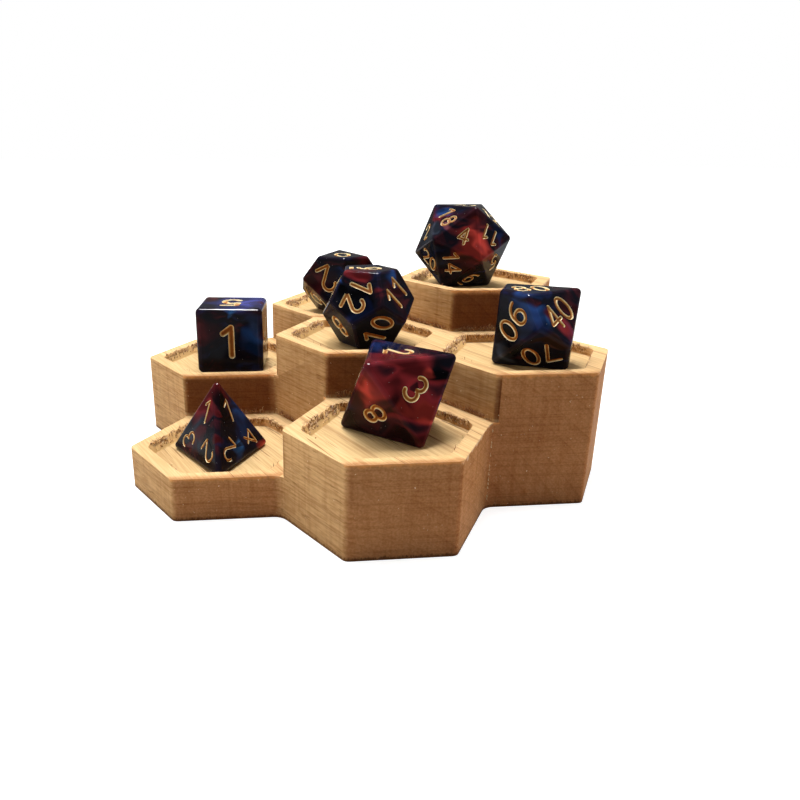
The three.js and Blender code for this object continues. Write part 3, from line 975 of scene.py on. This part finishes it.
def marbled_resin(name, node, swirls):
    """The resin of one die, with its bright swirls at their places from the die's middle."""
    resin, tree, shader = new_material(name)
    shader.inputs["Specular IOR Level"].default_value = 0.08
    low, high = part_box(node)
    middle = (Vector(low) + Vector(high)) / 2
    place = place_in_mm(tree, -middle / MM)
    marbled = put(tree, "Group", place, node_tree=MARBLED).outputs
    colour = marbled["Colour"]
    for shade, reach, *spot in swirls:
        colour = put(tree, "Group", marbled["Curled place"], marbled["Streaks"], spot, reach,
                     colour, (*SWIRLS[shade], 1), node_tree=SWIRL).outputs[0]
    share = mark(tree, "stroke_share")
    # The resin is darkened just outside each groove, as painted shade at its edge.
    colour = tint(tree, fade(tree, share, 1.25, 1.0, 0.0, 0.8), colour, SWIRLS["black"])
    # The rounded edges are painted lighter, as a faint highlight.
    edge_highlight = vector_calc(tree, "MULTIPLY_ADD", colour, EDGE_GAIN, EDGE_GLOW)
    colour = tint(tree, fade(tree, share, FACE_SHARE, EDGE_SHARE), colour, edge_highlight)
    colour = tint(tree, times(tree, marbled["Dust"], 0.55), colour, DUST)
    tree.links.new(colour, shader.inputs["Base Color"])
    smear = noise(tree, place, (0.35, 0.35, 0.9), 1.0, 3.0)
    tree.links.new(fade(tree, smear, 0.35, 0.7, 0.05, 0.16), shader.inputs["Roughness"])
    roughen(tree, shader, noise(tree, place, (0.5, 0.5, 0.5)), 0.25, 0.02)
    return resin


# The set has seven dice, each cast in a mould of its own and stirred by hand, so that no two
# swirl alike. A die is given by its faces, its numbers, their height, the groove's half width and
# the edges' rounding, then by each swirl's colour, reach and place from the die's middle.
def numbers_on(labels, heading=0, shifts=None):
    """A number for each face, as die_mesh takes it, from one line of labels. A label may give its
    own heading after an @. Shifts move a face's number to the right and up."""
    marks = []
    for face, label in enumerate(labels.split()):
        text, _, own = label.partition("@")
        marks.append([(text, float(own or heading), *(shifts or {}).get(face, (0, 0)))])
    return marks


def add_die(body, count, numbers, height, half_width, edge_round, *swirls):
    """One die of the set, in the place of its CAD node and on its own body."""
    node = f"{body}_die"
    mesh = die_mesh(f"{body}_cast", node, count, numbers, height, half_width, edge_round)
    mesh.materials.append(marbled_resin(f"{body}_resin", node, swirls))
    mesh.materials.append(gold_paint)
    return piece_from(f"{body}_cast", mesh, body, "swirled_resin", node)


D4_CORNERS = ("134", "132", "124", "423")
D4_OUT = 4.9
D4_NUMBERS = [[(text, 120 * k, 0, D4_OUT) for k, text in enumerate(own)] for own in D4_CORNERS]
add_die("d4", 4, D4_NUMBERS, 5.1, 0.27, 0.8,
        ("navy", 6, 5.6, 4.4, 0.0), ("slate", 4.2, -4.2, 1.2, -3.4), ("red", 6.0, -3.0, 3.2, 4.2),
        ("black", 3.6, -5.5, 1.5, -7.0), ("black", 3, -2.4, -3.2, -5.8),
        ("black", 2.8, 1.6, 0.4, 3.2), ("black", 2.4, 1.8, -1.2, 0.2),
        ("blue", 3.4, 4.8, 3.8, 0.4), ("bright_blue", 2.2, 4.0, 0, -3.8),
        ("bright_red", 2.6, 9.2, 7.0, -7.5), ("dark_red", 1.4, 0.2, -1.5, 2.6),
        ("dark_red", 1.5, 0.1, -3.4, 0.0), ("dark_red", 1.6, 0.0, -5.0, -1.8),
        ("dark_red", 1.7, 0.0, -6.6, -4.4))
add_die("d6", 6, numbers_on("5@225 6 3 1 4 2", 45), 7.84, 0.75, 1.25,
        ("violet", 9, 3.4, 1.0, 8.0), ("blue", 4.0, 6.1, -8.6, 1.3),
        ("bright_blue", 2.6, -0.8, -8, 7.3), ("maroon", 4.0, -7.7, -7.3, 2.7),
        ("brown", 5, 8, -0.6, 4.1), ("maroon", 3, -6, 5, 8))
add_die("d8", 8, numbers_on("2 1 4 3 6 8@120 5 7"), 5.7, 0.46, 1.0,
        ("red", 12, 1.0, -7.7, 3.5), ("navy", 5.5, -4.2, 4.8, 8.0), ("black", 3, 7.5, -4.4, 7.2),
        ("bright_red", 3.6, -7.7, -5.2, 2.4), ("maroon", 2.6, -5.2, -6.8, -1.4),
        ("bright_red", 3.0, 3.9, -8.6, -2.0), ("bright_red", 1.8, -1.2, -9.5, -0.8),
        ("bright_red", 1.6, 5.2, -5.1, 6.0), ("char", 6.4, -6.8, -2.2, -6.1),
        ("char", 4.0, -1.4, -6.8, -7.4), ("blue", 1.6, 7.2, -6.6, -0.5))
add_die("d10", 10, numbers_on("0 3 8 2 4 7 5 6_ 1 9_", 0, {7: (0, 1.2), 9: (0, 1.2)}),
        7.0, 0.46, 0.9,
        ("navy", 3, -1.3, -8.1, 4.3), ("copper", 3, -9.3, -2.3, -0.6),
        ("maroon", 3, 5.8, -5.6, 7.4), ("maroon", 4, -7.6, -4.8, 1.7))
add_die("d12", 12, numbers_on("9_ 5 3 7 12@288 11@72 1 2 8@216 10@72 6_ 4"), 5.5, 0.47, 0.9,
        ("maroon", 4, 5.4, -5.4, 3.8), ("red", 2.8, -4.0, -4.5, 7.8),
        ("black", 3.2, -2.4, -7.8, 3.0), ("red", 1.8, 1.7, -8.4, 5.0),
        ("blue", 2.2, 5.0, -3.7, 7.9), ("blue", 1.8, -7.2, -4.1, 5.4),
        ("navy", 3.2, -4.0, -8.6, 0.2), ("black", 3.2, -6.1, -6.2, 2.7))
add_die("percentile", 10,
        numbers_on("80 20 40 60 90 00 30 50 70 10", 90,
                   {2: (0.68, -0.22), 4: (0.4, 0), 8: (0.27, 0.42)}),
        5.5, 0.4, 1.05,
        ("navy", 5, -5.6, -6.0, 3.0), ("black", 4.6, -7.2, -3.6, -0.5),
        ("black", 2.8, -6.2, -5.0, 3.2), ("blue", 2.8, -5.0, -4.9, 6.7),
        ("blue", 3.4, -3.5, -8.2, 5.0), ("bright_blue", 1.6, -1.9, -9.1, 3.3),
        ("bright_blue", 1.8, 4.4, -8.8, -0.1), ("dark_red", 2.4, -0.4, -8.1, 4.6),
        ("red", 2.6, 3.4, -8.7, 1.5), ("maroon", 4, 6, -6, 6), ("slate", 3, -7.6, -2.8, -4.3),
        ("brown", 2.5, -0.7, -9.1, -1.8))
add_die("d20", 20,
        numbers_on("13 15 18@10 12 1 7 16 2 4@8 11@120 19 17 10 20 14@239 5@240 3 9_ 6_@320 8", 0,
                   {1: (0, -0.4), 11: (-0.26, -0.55), 17: (0, 0.2)}),
        4.2, 0.34, 0.9,
        ("maroon", 5.5, 0.5, -8.5, 6.5), ("maroon", 4, -1.0, -9.5, -3.0),
        ("dark_red", 4, -7.4, -3.0, 7.7), ("bright_red", 5.2, 0.0, -9.6, 3.2),
        ("bright_red", 3.0, 2.6, -10.2, 1.3), ("blue", 3, -5.2, -2.2, 8.3),
        ("pink", 1.2, -5.5, -7.3, 5.1), ("navy", 3, 8.7, -6.2, 2.0),
        ("slate", 3, -9.4, -3.9, 2.9))
